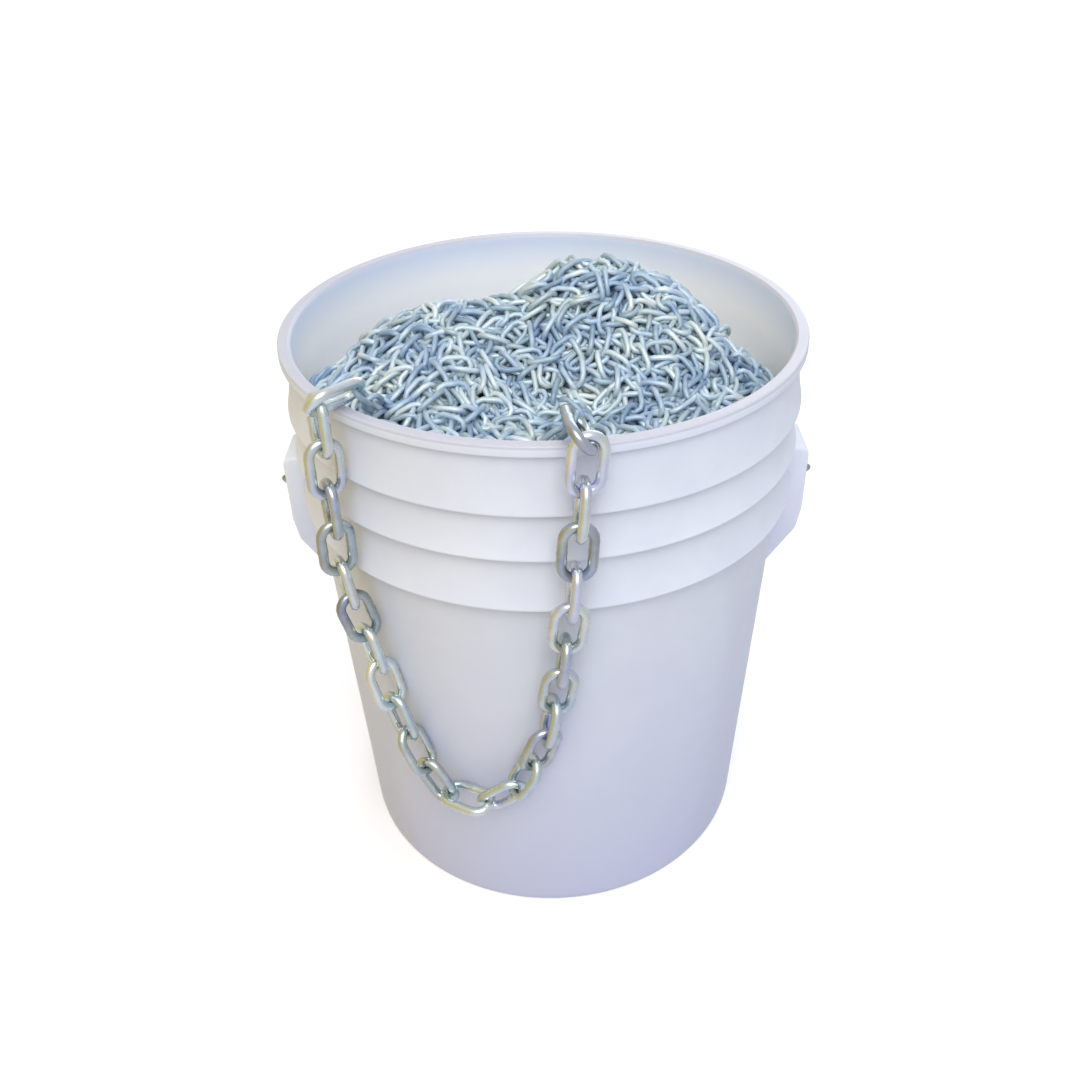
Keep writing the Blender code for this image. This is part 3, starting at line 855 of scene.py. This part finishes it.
@dataclass
class Mound:
    """Shape of the heap: level at the axis, fall to the back, and the mounds on it."""

    level: float = 0.3110
    fall: float = 0.301
    mounds: tuple = (((-0.054, -0.012), 0.0608, 0.1175), ((0.0535, -0.001), 0.0753, 0.1035),
                     ((0.0195, 0.000), 0.0100, 0.0450))

    def height(self, x: np.ndarray, y: np.ndarray) -> np.ndarray:
        """Height of the heap's surface over points."""
        z = self.level - self.fall * y
        for (cx, cy), height, spread in self.mounds:
            away = np.hypot(x - cx, y - cy)
            z = z + np.where(away < spread, height * np.cos(np.pi * away / (2 * spread)) ** 2, 0.0)
        return z


@dataclass
class ChainHeap:
    """Loose chain heaped in the pail: strands of links laid one over another.

    A height map holds the top of what lies there. Each new link rests on it and raises it.
    """

    link: LinkShape
    mound: Mound
    pail: Pail
    reach: float = 0.150
    core_depth: float = 0.0125
    top_allowance: float = 0.0008
    sink: float = 0.0012
    settled: float = 0.70
    steepest: float = 0.75
    cell: float = 0.0007
    wall_margin: float = 0.0056
    wall_span: tuple[float, float] = (0.20, 0.36)
    least_flat: float = 0.5
    link_samples: int = 26
    free_share: float = 0.35
    swings: tuple = (0.0, 0.35, -0.35, 0.7, -0.7, 1.1, -1.1, 1.6, -1.6)
    swing_cost: float = 0.002
    choice_noise: float = 0.0015
    wander: float = 0.22
    first_curl: float = 0.25
    curl_kept: float = 0.8
    drop_per_link: float = 0.010
    longest_strand: int = 70
    longest_from_rim: int = 40
    start_radius: float = 0.134
    start_choice: int = 3000
    least_lack: float = 0.003
    barred_radius: float = 0.0025
    sides: int = 6
    crown_steps: int = 4
    core_rings: tuple = (0.0, 0.02, 0.04, 0.06, 0.08, 0.10, 0.12, 0.134, 0.1405)
    core_side: tuple = ((0.1395, 0.2350), (0.1300, 0.0111), (0.1225, 0.0034), (0.0, 0.0034))
    core_steps: int = 48
    core_sharp_from: float = 60.0
    most_links: int = 5200
    most_tries: int = 2500

    def __post_init__(self) -> None:
        """Sets up the height map."""
        self.size = int(round(2 * self.reach / self.cell)) + 1
        ticks = np.linspace(-self.reach, self.reach, self.size)
        self.grid_x, self.grid_y = np.meshgrid(ticks, ticks, indexing="ij")
        self.target = self.mound.height(self.grid_x, self.grid_y)
        self.top = self.target - self.core_depth
        self.samples = self.link.centre_line(self.link_samples)
        r = self.link.wire / 2
        span = int(r / self.cell) + 1
        steps = np.arange(-span, span + 1) * self.cell
        dx, dy = np.meshgrid(steps, steps, indexing="ij")
        inside = dx ** 2 + dy ** 2 < r ** 2
        dx, dy = dx[inside], dy[inside]
        self.stamp = np.array([dx, dy, np.sqrt(r ** 2 - dx ** 2 - dy ** 2)])

    def cells(self, x: np.ndarray | float, y: np.ndarray | float) -> tuple[np.ndarray, np.ndarray]:
        """Indices of the height map's cells under points."""
        i, j = (np.clip(np.rint((place + self.reach) / self.cell).astype(int), 0, self.size - 1)
                for place in (x, y))
        return i, j

    def placed(self, pose: Pose) -> np.ndarray:
        """Sample points of a link's centre line where it lies."""
        m = np.array(pose.matrix())
        return self.samples @ m[:3, :3].T + m[:3, 3]

    def press(self, pose: Pose) -> None:
        """Raises the height map to the top of a link."""
        x, y, z = (self.placed(pose).T[:, :, None] + self.stamp[:, None, :]).reshape(3, -1)
        np.maximum.at(self.top, self.cells(x, y), z)

    @staticmethod
    def pose_between(start: Vector, end: Vector, turn: float) -> Pose:
        """Place of the link between two joints, its flat side turned from straight up."""
        along = (end - start).normalized()
        up = Vector((0, 0, 1))
        facing = (up - along * up.dot(along)).normalized()
        side = facing.cross(along)
        normal = facing * math.cos(turn) + side * math.sin(turn)
        return Pose((start + end) / 2, along, normal)

    def next_joint(self, joint: Vector, heading: float, turn: float) -> tuple[Vector, float] | None:
        """Finds where a link laid in a direction comes to rest.

        Args:
            joint: Joint that it starts from.
            heading: Direction in the plane, in radians.
            turn: Turn of the link about its length, in radians.

        Returns:
            The joint at its other end with the height over the target there, or None.
        """
        rise = 0.0
        radius = self.link.wire / 2
        for _ in range(3):
            flat = math.sqrt(max(self.link.pitch ** 2 - rise ** 2, (self.least_flat * self.link.pitch) ** 2))
            end = joint + Vector((flat * math.cos(heading), flat * math.sin(heading), rise))
            wall = self.pail.inner_radius(min(max(end.z, self.wall_span[0]), self.wall_span[1]))
            if math.hypot(end.x, end.y) > wall - self.wall_margin:
                return None
            points = self.placed(self.pose_between(joint, end, turn))
            share = ((points[:, 0] - joint.x) * math.cos(heading)
                     + (points[:, 1] - joint.y) * math.sin(heading)) / flat
            near = share > self.free_share
            need = self.top[self.cells(points[near, 0], points[near, 1])] + radius - self.sink
            lift = (need - points[near, 2]) / share[near]
            rise = rise + float(np.quantile(lift, self.settled))
            rise = max(-self.steepest * self.link.pitch, rise)
            if rise > self.steepest * self.link.pitch:
                return None
        return end, end.z + radius - float(self.target[self.cells(end.x, end.y)])

    def lay_strand(self, start: Vector, heading: float, length: int, rng: np.random.Generator,
                   turn: float, lifted: float = 0.0) -> list[Pose]:
        """Lays one strand of links, each way chosen so that it runs into the low places.

        Args:
            start: First joint.
            heading: First direction, in radians.
            length: Most links in the strand.
            rng: Source of the strand's wander.
            turn: Turn of the first link about its length, in radians.
            lifted: How far the first joint is over the heap.

        Returns:
            The places of its links.
        """
        poses: list[Pose] = []
        joint, curl = start, rng.normal(0, self.first_curl) if lifted == 0.0 else 0.0
        for index in range(length):
            curl = self.curl_kept * curl + rng.normal(0, self.wander)
            best = None
            over = self.top_allowance + max(0.0, lifted - self.drop_per_link * index)
            for swing in self.swings:
                way = heading + curl + swing
                found = self.next_joint(joint, way, turn)
                if found is None or found[1] > over:
                    continue
                score = found[1] + self.swing_cost * abs(swing) + rng.uniform(0, self.choice_noise)
                if best is None or score < best[0]:
                    best = (score, found[0], way)
            if best is None:
                break
            _, end, heading = best
            poses.append(self.pose_between(joint, end, turn))
            if len(poses) > 1:
                self.press(poses[-2])
            joint = end
            turn += math.pi / 2 + rng.normal(0, self.wander)
        if poses:
            self.press(poses[-1])
        return poses

    def strand_from(self, held: Pose, held_shape: LinkShape, rng: np.random.Generator) -> list[Pose]:
        """Lays the strand that hangs in a link lying over the rim.

        Args:
            held: Place of the link over the rim.
            held_shape: Shape of that link.
            rng: Source of the strand's wander.

        Returns:
            The places of its links.
        """
        inward = held.along if held.along.dot(held.middle) < 0 else -held.along
        start = held.middle + inward * (held_shape.pitch / 2)
        heading = math.atan2(inward.y, inward.x)
        level = self.pose_between(start, start + Vector((math.cos(heading), math.sin(heading), 0.0)), 0.0)
        across = level.normal.cross(level.along)
        turn = math.atan2(-level.normal.dot(held.normal), across.dot(held.normal))
        surface = float(self.mound.height(np.array(start.x), np.array(start.y)))
        over = start.z + self.link.wire / 2 - surface
        return self.lay_strand(start, heading, self.longest_from_rim, rng, turn, over)

    def fill(self, rng: np.random.Generator, held: Sequence[Pose], held_shape: LinkShape) -> list[Pose]:
        """Lays strands until the heap is full, the last ones from the links over the rim.

        Args:
            rng: Source of the starts and the wander.
            held: Places of the links over the rim.
            held_shape: Shape of those links.

        Returns:
            The places of all links.
        """
        poses: list[Pose] = []
        x, y = self.grid_x.ravel(), self.grid_y.ravel()
        untried = np.hypot(x, y) < self.start_radius
        tries = 0
        while len(poses) < self.most_links and tries < self.most_tries:
            tries += 1
            lack = np.where(untried, (self.target - self.top).ravel(), -1.0)
            lowest = np.argpartition(lack, -self.start_choice)[-self.start_choice:]
            pick = lowest[rng.integers(len(lowest))]
            if lack[pick] < self.least_lack:
                break
            start = Vector((x[pick], y[pick], self.top.ravel()[pick] + self.link.wire / 2))
            strand = self.lay_strand(start, rng.uniform(0, math.tau), self.longest_strand, rng,
                                     rng.uniform(0, math.pi))
            if len(strand) < 2:
                untried &= np.hypot(x - start.x, y - start.y) > self.barred_radius
            poses += strand
        for pose in held:
            strand = self.strand_from(pose, held_shape, rng)
            log.info("strand of %d links from a link over the rim", len(strand))
            poses += strand
        log.info("heap of %d links after %d starts", len(poses), tries)
        return poses

    def build_links(self, poses: list[Pose], name: str, material: Material,
                    rng: np.random.Generator, nodes: Sequence[str]) -> None:
        """Joins the links of the heap in one mesh.

        Args:
            poses: Places of the links.
            name: Name of the piece.
            material: Plating.
            rng: Source of each link's tone.
            nodes: CAD nodes that the piece stands for.
        """
        link = mesh_from(self.link.shape(self.sides, self.crown_steps), "one_link")
        points = np.empty(len(link.vertices) * 3)
        link.vertices.foreach_get("co", points)
        points = points.reshape(-1, 3)
        faces = np.array([list(face.vertices) for face in link.polygons])
        matrices = np.array([np.array(pose.matrix()) for pose in poses])
        placed = np.einsum("kij,nj->kni", matrices[:, :3, :3], points) + matrices[:, None, :3, 3]
        joined = faces[None] + (np.arange(len(poses)) * len(points))[:, None, None]
        mesh = bpy.data.meshes.new(name)
        mesh.from_pydata(placed.reshape(-1, 3).tolist(), [], joined.reshape(-1, faces.shape[1]).tolist())
        mesh.shade_smooth()
        with_tone(mesh, np.repeat(rng.uniform(0, 1, len(poses)), len(points)))
        bpy.data.meshes.remove(link)
        finished_piece(name, mesh, material, Body.PAIL, nodes)

    def build_core(self, material: Material) -> None:
        """Builds the sheet that shows between the links, dark with painted shade.

        Its rings are turned over the pail's height and then let down to their depth in the mound.
        """
        over = 2 * self.pail.height
        bm = turned([(radius, over) for radius in self.core_rings] + list(self.core_side), self.core_steps)
        for vert in bm.verts:
            if vert.co.z > self.pail.height:
                x, y = vert.co.x, vert.co.y
                vert.co.z = float(self.mound.height(np.array(x), np.array(y))) - self.core_depth
        # painted shade: this sheet is coloured as the shade between the links
        mesh = mesh_from(bm, "heap_core_painted_shade", self.core_sharp_from)
        finished_piece("heap_core_painted_shade", mesh, material, Body.PAIL, [])


@dataclass
class Studio:
    """Pale floor, soft light and the camera at the photograph's angle."""

    camera_place: tuple[float, float, float] = (0.0, -0.5989, 0.6131)
    pitch_down: float = 35.6763
    yaw: float = 1.1286
    roll: float = -0.6483
    focal_pixels: float = 1094.69
    centre_pixels: float = 567.0
    overhead_power: float = 1.12
    overhead_spread: float = 40.0
    overhead_tilt: float = 35.0
    lamps: tuple = (("soft_over_camera", (0.05, -0.75, 1.00), (0, 0, 0.28), 0.4, 1.8, "#FFFFFF"),
                    ("soft_behind", (0.5, 1.6, 0.9), (0, 0, 0.2), 1.2, 7.0, "#F4F6FF"))
    light_above: str = "#F3F4FA"
    light_below: str = "#ECEEFA"
    light_left: str = "#E4D09A"
    light_right: str = "#D6D8E2"
    level_span: tuple[float, float] = (-0.2, 0.2)
    left_span: tuple[float, float] = (-0.30, -0.85)
    right_span: tuple[float, float] = (0.25, 0.85)
    room_strength: float = 0.96
    floor_size: float = 6.0
    floor_colours: tuple[str, str] = ("#FAFAFB", "#FCFCFD")

    def camera(self) -> None:
        """Puts the camera where the photograph was taken."""
        data = bpy.data.cameras.new("camera")
        data.sensor_width = 36.0
        data.lens = self.focal_pixels / PICTURE_PIXELS * data.sensor_width
        shift = (self.centre_pixels - PICTURE_PIXELS / 2) / PICTURE_PIXELS
        data.shift_x, data.shift_y = -shift, shift
        data.clip_start = 0.01
        camera = add_object("camera", data)
        turn = (Matrix.Rotation(math.radians(-self.yaw), 4, "Z")
                @ Matrix.Rotation(math.radians(90 - self.pitch_down), 4, "X")
                @ Matrix.Rotation(math.radians(self.roll), 4, "Z"))
        camera.matrix_world = Matrix.Translation(self.camera_place) @ turn
        bpy.context.scene.camera = camera

    def floor(self) -> None:
        """Lays the pale floor."""
        bm = bmesh.new()
        bmesh.ops.create_grid(bm, x_segments=1, y_segments=1, size=self.floor_size)
        mesh = mesh_from(bm, "studio_floor")
        material, tree, shader, place = new_material("pale_floor_paint")
        mottle = add_node(tree, "ShaderNodeTexNoise", {"Vector": place, "Scale": 3.0})
        shade = fade(tree, mottle.outputs["Fac"], (0.3, 0.7), *self.floor_colours)
        set_inputs(tree, shader, {"Base Color": shade, "Roughness": 0.9})
        mesh.materials.append(material)
        floor = add_object("studio_floor", mesh)
        floor.visible_diffuse = floor.visible_glossy = False

    def light(self, name: str, place: tuple[float, float, float], aim: tuple[float, float, float],
              size: float, power: float, colour: str) -> None:
        """Hangs one soft square light.

        Args:
            name: Name of the light.
            place: Where it hangs.
            aim: Point that it faces.
            size: Length of its side.
            power: Its power in watts.
            colour: Its colour.
        """
        data = bpy.data.lights.new(name, "AREA")
        data.shape, data.size, data.energy = "SQUARE", size, power
        data.color = linear(colour)[:3]
        way = Vector(aim) - Vector(place)
        turn = way.to_track_quat("-Z", "Y").to_matrix().to_4x4()
        add_object(name, data).matrix_world = Matrix.Translation(place) @ turn

    def overhead(self) -> None:
        """Lights pail and floor evenly from above the camera, through a wide diffuser far away."""
        data = bpy.data.lights.new("wide_overhead", "SUN")
        data.energy, data.angle = self.overhead_power, math.radians(self.overhead_spread)
        lamp = add_object("wide_overhead", data)
        lamp.matrix_world = Matrix.Rotation(math.radians(self.overhead_tilt), 4, "X")

    def surroundings(self) -> None:
        """Fills the room with soft light, cool, but beige on the left and dim on the right.

        The camera itself sees a white wall.
        """
        world = bpy.data.worlds.new("studio_air")
        world.use_nodes = True
        tree = world.node_tree
        way = add_node(tree, "ShaderNodeTexCoord").outputs["Generated"]
        parts = add_node(tree, "ShaderNodeSeparateXYZ", {"Vector": way})
        level = fade(tree, parts.outputs["Z"], self.level_span, self.light_below, self.light_above)
        left = fade(tree, parts.outputs["X"], self.left_span, level, self.light_left)
        sides = fade(tree, parts.outputs["X"], self.right_span, left, self.light_right)
        light = tree.nodes["Background"]
        set_inputs(tree, light, {"Color": sides, "Strength": self.room_strength})
        wall = add_node(tree, "ShaderNodeBackground", {"Color": "#FFFFFF", "Strength": 1.0})
        seen = add_node(tree, "ShaderNodeLightPath").outputs["Is Camera Ray"]
        both = add_node(tree, "ShaderNodeMixShader",
                        {"Fac": seen, 1: light.outputs["Background"], 2: wall.outputs["Background"]})
        set_inputs(tree, tree.nodes["World Output"], {"Surface": both.outputs["Shader"]})
        bpy.context.scene.world = world

    def build(self) -> None:
        """Sets up the floor, the lights, the surroundings and the camera."""
        self.floor()
        self.overhead()
        for lamp in self.lamps:
            self.light(*lamp)
        self.surroundings()
        bpy.context.scene.view_settings.view_transform = "Standard"
        self.camera()


def main() -> None:
    """Builds every piece of the pail of chain and the studio."""
    logging.basicConfig(level=logging.INFO, format="%(name)s: %(message)s")
    rng = np.random.default_rng(41)
    link = LinkShape()
    pail = Pail()
    pail.build(PailPolyethylene().material())
    bail = Bail()
    bail.build_wire(GalvanisedWire().material())
    bail.build_grip(GripPlastic().material())
    loop_plate = ZincPlate("zinc_plate_on_hanging_links", pale="#FCFCFD", middle="#CCD1D6", deep="#868D93",
                           tints=("#EEF1FF", "#F6F8EC", "#EEF8F8"), roughness=0.25, metallic=1.0)
    HangingLoop(link).build(loop_plate.material(), rng)
    fine_link = LinkShape(wire=0.0031, pitch=0.0136, inside_width=0.0057, gap=0.0002)
    heap = ChainHeap(fine_link, Mound(), pail)
    heap_plate = ZincPlate("zinc_plate_on_heaped_links", pale="#EDF2F5", middle="#C6D4DE", deep="#8EA3B4",
                           tints=("#C4D4E6", "#EDF5F8", "#F0F3EC"), roughness=0.50, metallic=0.35,
                           patch_mm=20.0)
    plating = heap_plate.material()
    held = [pose_of_node(name) for name in ("rim_link_front", "rim_link_left")]
    poses = heap.fill(rng, held, link)
    half = len(poses) // 2
    heap.build_links(poses[:half], "heaped_chain_lower", plating, rng, ["chain_heap"])
    heap.build_links(poses[half:], "heaped_chain_upper", plating, rng, [])
    heap.build_core(PaintedShadeSteel().material())
    Studio().build()


if __name__ == "__main__":
    main()
